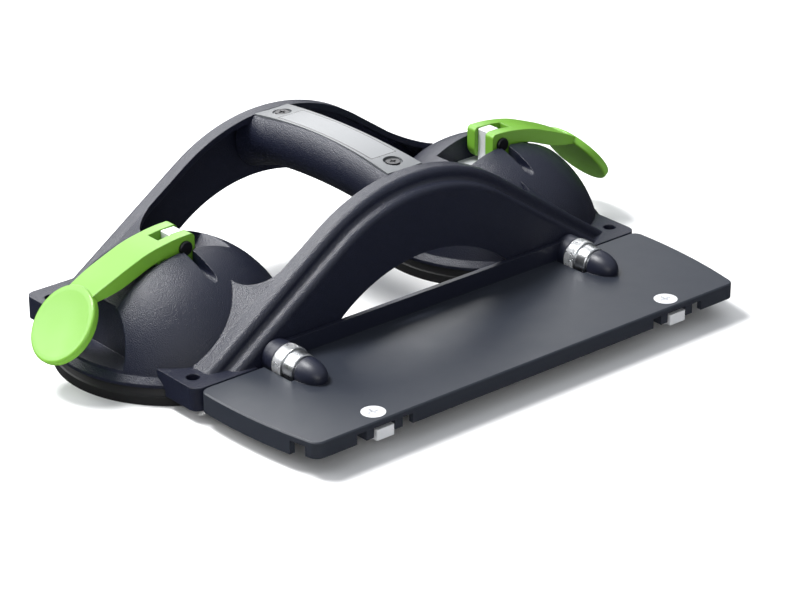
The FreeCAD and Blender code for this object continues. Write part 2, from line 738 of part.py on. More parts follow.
def lever():
    """Green cam lever of the right cup, clamped, about the cup's centre."""
    slope = math.radians(paddle_slope)
    along = Vector(math.cos(slope), 0, -math.sin(slope))
    normal = Vector(math.sin(slope), 0, math.cos(slope))
    centre = Vector(paddle_centre_x, 0, pin_z - paddle_centre_drop)
    neck_top = centre - along * (paddle_radius - 4.0)
    neck_low = neck_top - normal * paddle_thickness

    cam = cam_contour()
    cam_curve = Part.BSplineCurve()
    cam_curve.interpolate(cam)
    top_curve = Part.BSplineCurve()
    top_points = [Vector(-3.0, 0, pin_z + 6.3), Vector(4.0, 0, pin_z + 6.0), Vector(13.0, 0, pin_z + 4.8),
                  Vector(23.0, 0, pin_z + 2.6), Vector(32.0, 0, pin_z - 0.6), Vector(41.0, 0, pin_z - 4.1),
                  Vector(48.5, 0, pin_z - 7.4), neck_top]
    top_curve.interpolate(top_points)
    low_curve = Part.BSplineCurve()
    low_points = [neck_low, Vector(46.0, 0, pin_z - 12.4), Vector(38.0, 0, pin_z - 10.6),
                  Vector(29.5, 0, pin_z - 7.6), Vector(20.0, 0, pin_z - 4.0), Vector(11.5, 0, pin_z - 2.2)]
    low_curve.interpolate(low_points)
    heel = Vector(9.0, 0, pin_z - 7.9)
    last = cam[-1]
    open_face_top = Vector(last.x, 0, pin_z + 4.2)   # flat that stands on the saddle when open
    y = Vector(0, -fork_half_width, 0)
    edges = [
        cam_curve.toShape(),
        Part.LineSegment(last, open_face_top).toShape(),
        Part.Arc(open_face_top, Vector(last.x + 0.75, 0, pin_z + 5.7), top_points[0]).toShape(),
        top_curve.toShape(),
        Part.LineSegment(neck_top, neck_low).toShape(),
        low_curve.toShape(),
        Part.Arc(low_points[-1], heel, cam[0]).toShape(),
    ]
    side = Part.Face(Part.Wire(Part.__sortEdges__(edges)))
    side.translate(y)
    arm = side.extrude(Vector(0, 2 * fork_half_width, 0))
    plan = polygon([
        (-20, -fork_half_width, 0), (14, -fork_half_width, 0), (30, -10.9, 0), (neck_x, -neck_half_width, 0),
        (70, -neck_half_width, 0), (70, neck_half_width, 0), (neck_x, neck_half_width, 0), (30, 10.9, 0),
        (14, fork_half_width, 0), (-20, fork_half_width, 0),
    ]).extrude(Vector(0, 0, 100))
    arm = arm.common(plan)

    paddle = Part.makeCylinder(paddle_radius, paddle_thickness, centre - normal * paddle_thickness, normal)
    rims = [e for e in paddle.Edges if e.Curve.TypeId == "Part::GeomCircle" and e.isClosed()]
    paddle = paddle.makeFillet(1.2, rims)
    body = arm.fuse(paddle)
    bowl_radius = ((paddle_radius - 3.0) ** 2 + dish_depth ** 2) / (2 * dish_depth)
    bowl = Part.makeSphere(bowl_radius, centre + normal * (bowl_radius - dish_depth))
    bowl = bowl.common(Part.makeCylinder(paddle_radius - 3.0, 8, centre - normal * 3.0, normal))
    body = body.cut(bowl)
    body = body.removeSplitter()
    gap = box(-30, fork_window_end, -fork_gap / 2, fork_gap / 2, 0, 100)
    body = body.cut(gap)
    return body.cut(rod_y(0, pin_z, -20, 20, pin_radius + running_clearance))


def lever_pin():
    head_back = -fork_half_width - side_clearance
    head = rod_y(0, pin_z, head_back - pin_head_thickness, head_back, pin_head_radius)
    rim = [e for e in head.Edges if e.isClosed() and abs(e.CenterOfMass.y - head_back + pin_head_thickness) < 0.01]
    head = head.makeChamfer(0.5, rim)
    shaft_end = fork_half_width + side_clearance + clip_thickness + 0.6
    return head.fuse(rod_y(0, pin_z, head_back, shaft_end, pin_radius))


def pin_clip():
    near = fork_half_width + side_clearance
    ring = rod_y(0, pin_z, near, near + clip_thickness, clip_radius)
    return ring.cut(rod_y(0, pin_z, near - 1, near + 5, pin_radius + 0.02))


# ---------------------------------------------------------------- adapter
def plate_outline(inset):
    """Plan of the plate: straight back and front, ends bowed in towards the front."""
    back = -plate_back_y - inset
    front = -plate_front_y + inset
    wide = plate_back_half - inset
    bow = plate_end_bow_half - inset
    narrow = plate_front_half - inset
    return face_of([
        line((-wide, back, 0), (wide, back, 0)),
        arc((wide, back, 0), (bow, -plate_end_bow_y, 0), (narrow, front, 0)),
        line((narrow, front, 0), (-narrow, front, 0)),
        arc((-narrow, front, 0), (-bow, -plate_end_bow_y, 0), (-wide, back, 0)),
    ])


def rounded_plate(inset, z0, z1, radius):
    solid = plate_outline(inset)
    solid.translate(Vector(0, 0, z0))
    solid = solid.extrude(Vector(0, 0, z1 - z0))
    corners = [e for e in solid.Edges if abs(e.Vertexes[0].Z - e.Vertexes[1].Z) > 1]
    return solid.makeFillet(radius, corners)


nose_base_y = plate_back_y + sleeve_length + wheel_play + wheel_length + nose_gap


def knob_trough(radius, extra=0.0):
    """Round-bottomed pocket that the clamp wheel turns in."""
    return rod_y(0, knob_z, -nose_base_y - extra, -plate_back_y + 0.01, radius)


def knob_nose():
    """Bullet-shaped fairing in front of the clamp wheel."""
    outline = Part.BSplineCurve()
    steps = 7
    points = []
    for i in range(steps + 1):
        t = math.radians(90) * i / steps
        points.append(Vector(0, -nose_base_y - nose_length * math.sin(t), knob_z + nose_radius * math.cos(t)))
    outline.interpolate(points)
    centre = (0, -nose_base_y, knob_z)
    edges = [outline.toShape(), line(tuple(points[-1]), centre), line(centre, tuple(points[0]))]
    return face_of(edges).revolve(Vector(0, 0, knob_z), Vector(0, 1, 0), 360)


def adapter_plate():
    bottom = plate_top_z - plate_depth
    solid = rounded_plate(0, bottom, plate_top_z, plate_corner)
    rim = [e for e in solid.Edges if all(abs(v.Z - plate_top_z) < 0.01 for v in e.Vertexes)]
    solid = solid.makeChamfer(0.6, rim)
    hollow = rounded_plate(plate_wall, bottom - 1, plate_top_z - plate_skin, plate_corner - plate_wall + 0.5)
    solid = solid.cut(hollow)
    ribs = []
    rib_count = int(plate_front_half // rib_spacing)
    inner_back = -plate_back_y - plate_wall / 2
    inner_front = -plate_front_y + plate_wall / 2
    for i in range(-rib_count, rib_count + 1):
        x = i * rib_spacing
        ribs.append(box(x - rib_thickness / 2, x + rib_thickness / 2, inner_front, inner_back,
                        bottom + 1.5, plate_top_z - 0.5))
    for y in rib_rows:
        ribs.append(box(-plate_front_half, plate_front_half, -y - rib_thickness / 2, -y + rib_thickness / 2,
                        bottom + 1.5, plate_top_z - 0.5))
    solid = solid.fuse(ribs)
    keep_low = box(-200, 200, -200, 0, bottom, plate_top_z - 0.5)
    upstand = box(-knob_x, knob_x, -plate_back_y, -wall_outer_y - frame_gap, bottom + 2, upstand_top_z)
    parts = [solid, upstand]
    cutters = []
    for side in (-1, 1):
        shell = knob_trough(trough_radius + trough_wall, trough_wall).common(keep_low)
        shell.translate(Vector(side * knob_x, 0, 0))
        parts.append(shell.common(box(-200, 200, -plate_front_y + 5, -plate_back_y, bottom, plate_top_z)))
        parts.append(rod_y(side * knob_x, knob_z, -plate_back_y, -wall_outer_y - frame_gap, sleeve_radius))
        nose = knob_nose()
        nose.translate(Vector(side * knob_x, 0, 0))
        parts.append(nose.common(box(-200, 200, -200, 0, bottom + 2.5, 100)))
        parts.append(rod_z(side * rail_screw_x, -rail_screw_y, jaw_top_z + frame_gap, plate_top_z - 0.5,
                           rail_shank_radius + 2.6))
        for lug in (-1, 1):
            x = side * rail_screw_x + lug * (lug_start + lug_width / 2)
            parts.append(box(x - lug_width / 2, x + lug_width / 2, -plate_front_y + 0.4,
                             -plate_front_y + lug_depth, bottom, plate_top_z - 0.5))
        trough = knob_trough(trough_radius)
        trough.translate(Vector(side * knob_x, 0, 0))
        cutters.append(trough)
        cutters.append(rod_y(side * knob_x, knob_z, -nose_base_y - stud_travel - 1.0, -wall_outer_y,
                             stud_radius + stud_bore_clearance))
        gap = box(side * rail_screw_x - jaw_gap_half, side * rail_screw_x + jaw_gap_half,
                  -plate_front_y - 1, -plate_front_y + plate_wall + 0.6, 0, plate_top_z - plate_skin)
        parts[0] = parts[0].cut(gap)
        cutters.append(rail_screw_solid(side, running_clearance + 0.1))
        cutters.append(box(side * plate_front_half - 9, side * plate_front_half + 12,
                           -plate_notch[1], -plate_notch[0], 0, plate_notch_top_z))
    cutters.append(box(-200, 200, -plate_front_y - 1, -plate_notch[0], 0, bottom + plate_front_lift))
    solid = parts[0].fuse(parts[1:])
    solid = solid.cut(cutters)
    solid = solid.removeSplitter()
    return solid


def rail_screw_solid(side, extra=0.0):
    x = side * rail_screw_x
    y = -rail_screw_y
    cone = Part.makeCone(rail_shank_radius + extra, rail_head_radius + extra, rail_head_depth,
                         Vector(x, y, plate_top_z - rail_head_depth))
    shank = rod_z(x, y, jaw_top_z - jaw_thickness - jaw_travel, plate_top_z - rail_head_depth,
                  rail_shank_radius + extra)
    return cone.fuse(shank)


def rail_screw(side):
    screw = rail_screw_solid(side)
    return screw.cut(cross_recess(side * rail_screw_x, -rail_screw_y, plate_top_z, 3.0, 1.4))


def rail_jaw(side):
    """Steel clamp nut on the screw; its nose stands out between the guide lugs."""
    x = side * rail_screw_x
    y = -rail_screw_y
    jaw = box(x - jaw_half_width, x + jaw_half_width, -jaw_front_y, y + jaw_tail,
              jaw_top_z - jaw_thickness, jaw_top_z)
    edges = [e for e in jaw.Edges if abs(e.Vertexes[0].Z - e.Vertexes[1].Z) > 1]
    jaw = jaw.makeFillet(0.5, edges)
    return jaw.cut(rod_z(x, y, 0, 30, rail_shank_radius + running_clearance))


def clamp_sleeve():
    back = -plate_back_y
    sleeve = rod_y(0, knob_z, back - sleeve_length, back, sleeve_radius)
    rim = [e for e in sleeve.Edges if e.isClosed() and abs(e.CenterOfMass.y - back + sleeve_length) < 0.01]
    sleeve = sleeve.makeChamfer(0.5, rim)
    return sleeve.cut(rod_y(0, knob_z, back - 40, back + 5, stud_radius + stud_bore_clearance))


def clamp_wheel():
    """Steel thumb wheel: knurled rim, groove and smooth tapered collar, threaded on the stud."""
    back = plate_back_y + sleeve_length + wheel_play
    knurl_end = back + knurl_length
    collar_start = knurl_end + groove_width
    front = back + wheel_length
    bore = stud_radius + running_clearance
    profile = [(bore, back), (knurl_radius - 0.5, back), (knurl_radius, back + 0.5), (knurl_radius, knurl_end - 0.3),
               (knurl_radius - 0.3, knurl_end), (collar_radius - groove_depth, knurl_end),
               (collar_radius - groove_depth, collar_start), (collar_radius - 0.2, collar_start),
               (collar_radius, collar_start + 0.2), (collar_end_radius, front - 0.5),
               (collar_end_radius - 0.5, front), (bore, front)]
    face = polygon([(0, -y, knob_z + r) for r, y in profile])
    return face.revolve(Vector(0, 0, knob_z), Vector(0, 1, 0), 360)


def clamp_stud():
    """Stud that the wheel draws out of the insert, with chamfered ends."""
    front = -(plate_back_y + sleeve_length + wheel_play + wheel_length) + 0.5
    stud = rod_y(0, knob_z, front, -wall_outer_y + stud_reach, stud_radius)
    return stud.makeChamfer(0.6, [e for e in stud.Edges if e.Curve.TypeId == "Part::GeomCircle"])


def thread_inserts():
    solids = []
    for side in (-1, 1):
        outer = rod_y(side * knob_x, knob_z, -wall_outer_y, -wall_outer_y + insert_length, insert_radius)
        solids.append(outer.cut(rod_y(side * knob_x, knob_z, -100, 0, stud_radius + running_clearance)))
    return Part.makeCompound(solids)


# ---------------------------------------------------------------- export
def place(shape, side=1, x=0.0):
    """Moves a piece drawn about a centre line to its place; side -1 mirrors it to the left."""
    moved = shape.copy()
    moved.translate(Vector(x, 0, 0))
    if side < 0:
        moved = flip(moved, x=True)
    return moved


def save(name, shape):
    moved = shape.copy()
    moved.translate(Vector(0, shift_y, 0))
    moved.exportStep("parts/" + name + ".step")
    print(name, len(moved.Solids), "solids", round(moved.Volume, 1), "mm3", "valid", moved.isValid())


def main():
    os.makedirs("parts", exist_ok=True)
    save("front_arch", front_frame())
    save("back_arch", flip(front_arch(), y=True))
    save("grip", grip())
    save("grip_cover", grip_cover())
    save("label_panel", label_panel())
    save("cover_screws", cover_screws())
    save("thread_inserts", thread_inserts())
    save("adapter_plate", adapter_plate())
    cup_pieces = {
        "cup_housing": housing(), "suction_pad": suction_pad(), "pad_core": pad_core(), "pull_stud": pull_stud(),
        "cam_saddle": cam_saddle(), "return_spring": return_spring(), "cam_lever": lever(),
        "lever_pin": lever_pin(), "pin_clip": pin_clip(),
    }
    knob_pieces = {
        "clamp_sleeve": clamp_sleeve(), "clamp_wheel": clamp_wheel(), "clamp_stud": clamp_stud(),
    }
    for name, side in (("left", -1), ("right", 1)):
        for piece, shape in cup_pieces.items():
            save(piece + "_" + name, place(shape, side, cup_x))
        for piece, shape in knob_pieces.items():
            save(piece + "_" + name, place(shape, side, knob_x))
        save("rail_screw_" + name, rail_screw(side))
        save("rail_jaw_" + name, rail_jaw(side))


main()
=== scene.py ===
import math

import bmesh
import bpy
from bpy.props import FloatProperty, FloatVectorProperty, IntProperty, PointerProperty
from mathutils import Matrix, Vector


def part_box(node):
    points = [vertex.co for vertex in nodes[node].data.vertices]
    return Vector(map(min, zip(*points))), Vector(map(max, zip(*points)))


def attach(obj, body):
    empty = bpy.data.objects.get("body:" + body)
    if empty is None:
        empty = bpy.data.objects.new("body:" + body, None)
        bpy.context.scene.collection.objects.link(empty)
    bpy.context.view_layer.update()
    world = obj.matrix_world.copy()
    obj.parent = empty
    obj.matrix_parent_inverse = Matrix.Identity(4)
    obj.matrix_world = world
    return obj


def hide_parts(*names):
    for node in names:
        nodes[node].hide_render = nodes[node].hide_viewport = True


bl_info = {
    "name": "Suction lifter look",
    "version": (1, 0, 0),
    "blender": (4, 5, 0),
    "location": "3D View > Sidebar > Lifter",
    "description": "Finishes, fine pieces and studio for a two-cup suction lifter",
    "category": "Object",
}

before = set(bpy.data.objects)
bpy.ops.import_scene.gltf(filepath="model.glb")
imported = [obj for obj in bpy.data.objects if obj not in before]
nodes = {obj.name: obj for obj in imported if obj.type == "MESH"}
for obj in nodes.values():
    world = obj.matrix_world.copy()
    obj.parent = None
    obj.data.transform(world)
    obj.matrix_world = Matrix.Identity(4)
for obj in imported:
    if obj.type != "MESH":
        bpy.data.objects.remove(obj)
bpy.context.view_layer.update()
SIDES = ("left", "right")

NOISE_LOW, NOISE_HIGH = 0.3, 0.7    # part of a noise's range that a finish varies over
PLATE_TOP_MARGIN = 0.0002           # height over the plate's top where the dark plastic begins
LABEL_TINT = 1.15                   # label against the cover round it
LABEL_LINE_COLOR = (0.006, 0.006, 0.007)
EVEN = (1.0, 1.0, 1.0)              # noise that isn't stretched

# Clamp wheel: shares of its radius, and lengths in metres
MESH_STEPS = 4                      # mesh steps to one diamond of the knurl
KNURL_EDGE = 0.0004                 # where the knurl fades out at either end of the rim
NECK_SHARE = 0.86
COLLAR_SHARE = 0.946
COLLAR_LEAD = 0.97                  # narrower start of the collar's chamfer
COLLAR_LEAD_LENGTH = 0.0003
COLLAR_TAPER = 0.955
COLLAR_CHAMFER = 0.95
COLLAR_CHAMFER_LENGTH = 0.0005
GAP_SHARE = 0.82                    # dark ring against the collar's end
END_SHARE = 0.55

# name, place, aim, size, power
LAMPS = (
    ("key_light", (-0.45, 0.65, 1.5), (0, 0, 0.02), (0.5, 0.5), 40),
    ("side_light", (-1.05, 1.4, 1.0), (0, 0, 0.04), (1.1, 0.8), 17),
    ("back_light", (0.5, 1.6, 0.9), (0, 0, 0.04), (1.8, 1.0), 20),
    ("fill_light", (-1.1, -1.5, 0.8), (0, 0, 0.04), (1.2, 0.8), 9),
)
# brightness of the room from the horizon up
ROOM_RAMP = (("From Min", 0.0), ("From Max", 0.95), ("To Min", 0.09), ("To Max", 1.55))
ROOM_COLOR = (0.91, 0.95, 1.0, 1.0)
BACKDROP = 1.05                     # white that the camera sees


# ------------------------------------------------------------------ sizes and colours
class StudioSettings(bpy.types.PropertyGroup):
    """Camera, lights and floor"""
    azimuth: FloatProperty(
        name="Azimuth", description="Camera direction, 0 looks along +Y", default=math.radians(-40.51),
        subtype="ANGLE")
    elevation: FloatProperty(
        name="Elevation", description="Camera height angle", default=math.radians(24.895), subtype="ANGLE")
    distance: FloatProperty(
        name="Distance", description="Camera to the point it aims at", default=1.49585, unit="LENGTH")
    aim: FloatVectorProperty(
        name="Aim", description="Point the camera looks at", default=(0.02306, 0.01774, -0.00304),
        subtype="TRANSLATION")
    lens: FloatProperty(name="Lens", description="Focal length in millimetres", default=132.37)
    floor_size: FloatProperty(name="Floor", description="Side of the floor", default=12.0, unit="LENGTH")
    sky: FloatProperty(name="Sky", description="Brightness of the surroundings", default=0.44)


class PlasticSettings(bpy.types.PropertyGroup):
    """Moulded plastic and rubber"""
    body_color: FloatVectorProperty(
        name="Body", description="Dark plastic of the frame", default=(0.0092, 0.0112, 0.0245),
        subtype="COLOR")
    plate_color: FloatVectorProperty(
        name="Plate", description="Plastic of the adapter plate", default=(0.0200, 0.0240, 0.0345),
        subtype="COLOR")
    plate_top: FloatProperty(
        name="Plate top", description="Height over which the plate's noses are as dark as the body",
        default=0.01806, unit="LENGTH")
    # Pale grey base colour that is painted sheen of the overhead light: the cover itself is dark plastic like
    # the body
    cover_painted_sheen_color: FloatVectorProperty(
        name="Cover", description="Grip cover", default=(0.115, 0.122, 0.130), subtype="COLOR")
    lever_color: FloatVectorProperty(
        name="Lever", description="Cam levers", default=(0.150, 0.360, 0.032), subtype="COLOR")
    rubber_color: FloatVectorProperty(
        name="Rubber", description="Suction pads", default=(0.012, 0.012, 0.013), subtype="COLOR")
    label_line: FloatProperty(
        name="Label line", description="Width of the label's border", default=0.00045, unit="LENGTH")
    grain_size: FloatProperty(
        name="Grain", description="Size of the moulded grain", default=0.00055, unit="LENGTH")


class WheelSettings(bpy.types.PropertyGroup):
    """Knurled clamp wheels"""
    teeth: IntProperty(name="Teeth", description="Diamonds round the rim", default=64)
    rows: IntProperty(name="Rows", description="Diamonds across the rim", default=7)
    rim_share: FloatProperty(name="Rim", description="Knurled share of the wheel's length", default=0.44)
    groove: FloatProperty(name="Groove", description="Width of the groove", default=0.0010, unit="LENGTH")
    gap: FloatProperty(
        name="Gap", description="Dark ring between the collar and the nose", default=0.0010, unit="LENGTH")
    knurl_depth: FloatProperty(
        name="Knurl depth", description="Depth of the knurling", default=0.00045, unit="LENGTH")


# ------------------------------------------------------------------ material helpers
class Shader:
    """A Principled material and the few nodes that its finish needs."""

    def __init__(self, name, color, roughness, metallic=0.0, **sockets):
        self.material = bpy.data.materials.new(name)
        self.material.use_nodes = True
        self.tree = self.material.node_tree
        self.bsdf = self.tree.nodes["Principled BSDF"]
        self.set("Base Color", (*color, 1.0))
        self.set("Roughness", roughness)
        self.set("Metallic", metallic)
        for socket, value in sockets.items():
            self.set(socket.replace("_", " "), value)
        self.normal = None
        self.coordinates = self.add("ShaderNodeTexCoord")

    def set(self, socket, value):
        self.bsdf.inputs[socket].default_value = value

    def add(self, kind, **values):
        node = self.tree.nodes.new(kind)
        for key, value in values.items():
            if key in node.inputs:
                node.inputs[key].default_value = value
            else:
                setattr(node, key, value)
        return node

    def link(self, a, b):
        self.tree.links.new(a, b)

    def noise(self, size, detail=2.0, roughness=0.5, stretch=EVEN):
        mapping = self.add("ShaderNodeMapping", Scale=stretch)
        self.link(self.coordinates.outputs["Object"], mapping.inputs["Vector"])
        noise = self.add("ShaderNodeTexNoise", Scale=1.0 / size, Detail=detail, Roughness=roughness)
        self.link(mapping.outputs["Vector"], noise.inputs["Vector"])
        return noise.outputs["Fac"]

    def bump(self, height, strength, distance):
        bump = self.add("ShaderNodeBump", Strength=strength, Distance=distance)
        self.link(height, bump.inputs["Height"])
        if self.normal is not None:
            self.link(self.normal, bump.inputs["Normal"])
        self.normal = bump.outputs["Normal"]
        self.link(self.normal, self.bsdf.inputs["Normal"])

    def rounded(self, radius, samples=4):
        bevel = self.add("ShaderNodeBevel", samples=samples, Radius=radius)
        self.normal = bevel.outputs["Normal"]
        self.link(self.normal, self.bsdf.inputs["Normal"])

    def vary(self, socket, factor, low, high):
        """Moves a socket between two values with a noise."""
        ramp = self.add("ShaderNodeMapRange")
        limits = (("From Min", NOISE_LOW), ("From Max", NOISE_HIGH), ("To Min", low), ("To Max", high))
        for name, value in limits:
            ramp.inputs[name].default_value = value
        self.link(factor, ramp.inputs["Value"])
        self.link(ramp.outputs["Result"], self.bsdf.inputs[socket])

    def vary_color(self, factor, low, high):
        """Mixes the base colour from low to high by a 0 to 1 factor."""
        mix = self.add("ShaderNodeMix", data_type="RGBA")
        mix.inputs["A"].default_value = (*low, 1.0)
        mix.inputs["B"].default_value = (*high, 1.0)
        self.link(factor, mix.inputs["Factor"])
        self.link(mix.outputs["Result"], self.bsdf.inputs["Base Color"])

    def position(self):
        """Outputs X, Y and Z of the point that is shaded."""
        split = self.add("ShaderNodeSeparateXYZ")
        self.link(self.coordinates.outputs["Object"], split.inputs["Vector"])
        return split.outputs

    def math(self, operation, first, second=None):
        """A math node on first, and on second where it is given as a number."""
        node = self.add("ShaderNodeMath", operation=operation)
        self.link(first, node.inputs[0])
        if second is not None:
            node.inputs[1].default_value = second
        return node.outputs["Value"]

    def higher_than(self, height):
        """1 above a height and 0 below it."""
        return self.math("GREATER_THAN", self.position()["Z"], height)

    def edge_line(self, node, width):
        """1 within width of the long sides and ends of a flat piece that lies along Y, and 0 inside."""
        low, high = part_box(node)
        place = self.position()
        sides = []
        for index, axis in enumerate("XY"):
            centre = (low[index] + high[index]) / 2
            half = (high[index] - low[index]) / 2
            away = self.math("ABSOLUTE", self.math("SUBTRACT", place[axis], centre))
            sides.append(self.math("GREATER_THAN", away, half - width))
        either = self.add("ShaderNodeMath", operation="MAXIMUM")
        self.link(sides[0], either.inputs[0])
        self.link(sides[1], either.inputs[1])
        return either.outputs["Value"]


def scaled(color, factor):
    return tuple(channel * factor for channel in color)


def assign(material, *names):
    for name in names:
        mesh = nodes[name].data
        mesh.materials.clear()
        mesh.materials.append(material)


def smooth(piece, degrees):
    select_only(piece)
    bpy.ops.object.shade_smooth_by_angle(angle=math.radians(degrees))


def both(*names):
    return [name + "_" + side for name in names for side in SIDES]


# ------------------------------------------------------------------ finishes
def grained_plastic(settings):
    shader = Shader("grained_plastic", settings.body_color, 0.30, Specular_IOR_Level=0.5)
    shader.rounded(0.0007)
    grain = shader.noise(settings.grain_size, detail=2.0, roughness=0.55)
    shader.bump(grain, 0.9, 0.00034)
    shader.vary("Roughness", shader.noise(0.004, 4.0), 0.29, 0.36)
    return shader.material


def satin_plastic(settings):
    shader = Shader("satin_plastic", settings.plate_color, 0.42, Specular_IOR_Level=0.5)
    shader.rounded(0.0004)
    shader.bump(shader.noise(0.0003, 2.0), 0.10, 0.0001)
    shader.vary("Roughness", shader.noise(0.02, 3.0), 0.39, 0.45)
    above = shader.higher_than(settings.plate_top + PLATE_TOP_MARGIN)
    shader.vary_color(above, settings.plate_color, settings.body_color)
    return shader.material


def cover_plastic(settings):
    # Base colour is the pale painted sheen, not the cover's own dark plastic
    shader = Shader("cover_plastic", settings.cover_painted_sheen_color, 0.30, Specular_IOR_Level=0.55)
    shader.rounded(0.0003)
    shader.bump(shader.noise(0.0004, 2.0), 0.12, 0.0001)
    return shader.material


def label_film(settings):
    """Bare label with the thin dark line printed round its edge."""
    # The label's colour is the cover's painted sheen scaled by LABEL_TINT; only the thin dark edge line is
    # print
    shader = Shader("label_film", settings.cover_painted_sheen_color, 0.26, Specular_IOR_Level=0.55)
    line = shader.edge_line("label_panel", settings.label_line)
    shader.vary_color(line, scaled(settings.cover_painted_sheen_color, LABEL_TINT), LABEL_LINE_COLOR)
    shader.bump(shader.noise(0.0004, 2.0), 0.05, 0.00005)
    return shader.material


def lever_plastic(settings):
    shader = Shader("lever_plastic", settings.lever_color, 0.32, Specular_IOR_Level=0.5)
    shader.rounded(0.0009)
    shader.bump(shader.noise(0.0008, 2.0), 0.06, 0.0001)
    shader.vary("Roughness", shader.noise(0.01, 3.0), 0.29, 0.36)
    return shader.material


def rubber(settings):
    shader = Shader("black_rubber", settings.rubber_color, 0.55, Specular_IOR_Level=0.4)
    shader.rounded(0.0004)
    shader.bump(shader.noise(0.0006, 3.0), 0.2, 0.0001)
    return shader.material


def steel(name, color, roughness, stretch, depth, metallic=1.0):
    shader = Shader(name, color, roughness, metallic=metallic)
    shader.rounded(0.00015)
    shader.bump(shader.noise(0.0006, 3.0, stretch=stretch), depth, 0.00005)
    shader.vary("Roughness", shader.noise(0.003, 2.0), roughness - 0.05, roughness + 0.06)
    return shader.material


def dark_steel():
    shader = Shader("dark_steel", (0.02, 0.02, 0.024), 0.35, metallic=0.6)
    shader.rounded(0.0002)
    shader.bump(shader.noise(0.0005, 2.0), 0.1, 0.00005)
    return shader.material


# ------------------------------------------------------------------ modelling helpers
def deselect():
    if bpy.context.mode != "OBJECT":
        bpy.ops.object.mode_set(mode="OBJECT")
    bpy.ops.object.select_all(action="DESELECT")


def select_only(piece):
    deselect()
    piece.select_set(True)
    bpy.context.view_layer.objects.active = piece


def begin(name):
    """Names the primitive just added."""
    piece = bpy.context.object
    piece.name = name
    piece.data.name = name
    return piece


def select_faces(piece, test):
    """Leaves piece in edit mode with only the faces whose centre and normal pass the test."""
    bpy.ops.object.mode_set(mode="EDIT")
    bpy.ops.mesh.select_mode(type="FACE")
    bpy.ops.mesh.select_all(action="DESELECT")
    mesh = bmesh.from_edit_mesh(piece.data)
    for face in mesh.faces:
        face.select_set(test(face.calc_center_median(), face.normal))
    bmesh.update_edit_mesh(piece.data)


def select_edges(piece, test):
    """Leaves piece in edit mode with only the edges whose two ends pass the test."""
    bpy.ops.object.mode_set(mode="EDIT")
    bpy.ops.mesh.select_mode(type="EDGE")
    bpy.ops.mesh.select_all(action="DESELECT")
    mesh = bmesh.from_edit_mesh(piece.data)
    for edge in mesh.edges:
        edge.select_set(test(edge.verts[0].co, edge.verts[1].co))
    bmesh.update_edit_mesh(piece.data)


def extend_cap(piece, steps):
    """Extrudes the selected cap along local +Z, scaling it about the axis, once for each (length, factor)."""
    for length, factor in steps:
        bpy.ops.mesh.extrude_region_move(TRANSFORM_OT_translate={"value": (0, 0, length)})
        bpy.ops.transform.resize(value=(factor, factor, 1))
    bpy.ops.object.mode_set(mode="OBJECT")


def turn_to(piece, axis, place):
    """Turns local +Z to axis, moves the piece to place and applies both, so the mesh is in the row frame."""
    piece.rotation_euler = Vector(axis).to_track_quat("Z", "Y").to_euler()
    piece.location = place
    select_only(piece)
    bpy.ops.object.transform_apply(location=True, rotation=True, scale=True)


def middle(node):
    low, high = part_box(node)
    return (low + high) / 2


# ------------------------------------------------------------------ operators
class LIFTER_OT_wheels(bpy.types.Operator):
    """Model the knurled clamp wheels"""
    bl_idname = "lifter.wheels"
    bl_label = "Clamp wheels"

    def execute(self, context):
        settings = context.scene.lifter_wheel
        finish = steel("knurled_steel", (0.62, 0.63, 0.64), 0.30, EVEN, 0.04)
        for side in SIDES:
            self.wheel(settings, side, finish)
        return {"FINISHED"}

    def wheel(self, settings, side, finish):
        node = "clamp_wheel_" + side
        low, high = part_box(node)
        radius = (high.z - low.z) / 2
        length = high.y - low.y
        rim = length * settings.rim_share
        sectors = settings.teeth * MESH_STEPS
        deselect()
        bpy.ops.mesh.primitive_cylinder_add(vertices=sectors, radius=radius, depth=rim, location=(0, 0, 0))
        piece = begin("knurled_wheel_" + side)
        select_edges(piece, lambda a, b: abs(a.z - b.z) > rim / 2)
        bpy.ops.mesh.subdivide(number_cuts=settings.rows * MESH_STEPS - 1)
        bpy.ops.object.mode_set(mode="OBJECT")
        pitch = rim / settings.rows
        for vertex in piece.data.vertices:
            flat = Vector((vertex.co.x, vertex.co.y))
            if flat.length < radius * 0.5:
                continue
            turn = math.atan2(flat.y, flat.x) / (2 * math.pi) * settings.teeth
            row = (vertex.co.z + rim / 2) / pitch
            height = min(self.tooth(turn + row), self.tooth(turn - row))
            fade = min(1.0, (rim / 2 - abs(vertex.co.z)) / KNURL_EDGE)
            sunk = settings.knurl_depth * (1 - height * max(fade, 0.0))
            flat *= (flat.length - sunk) / flat.length
            vertex.co.x, vertex.co.y = flat
        select_faces(piece, lambda centre, normal: normal.z > 0.9 and centre.z > rim / 2 - 1e-5)
        collar = COLLAR_SHARE / NECK_SHARE
        ends = COLLAR_LEAD_LENGTH + COLLAR_CHAMFER_LENGTH
        collar_length = length - rim - settings.groove - settings.gap - ends
        extend_cap(piece, [(0, NECK_SHARE), (settings.groove, 1), (0, collar * COLLAR_LEAD),
                           (COLLAR_LEAD_LENGTH, 1 / COLLAR_LEAD), (collar_length, COLLAR_TAPER),
                           (COLLAR_CHAMFER_LENGTH, COLLAR_CHAMFER), (0, GAP_SHARE), (settings.gap, 1),
                           (0, END_SHARE)])
        smooth(piece, 25)
        turn_to(piece, (0, -1, 0), (middle(node).x, high.y - rim / 2, middle(node).z))
        piece.data.materials.append(finish)
        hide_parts(node)
        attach(piece, node)

    def tooth(self, x):
        """Triangle wave of period 1 between 0 and 1."""
        return abs((x % 1.0) * 2 - 1)


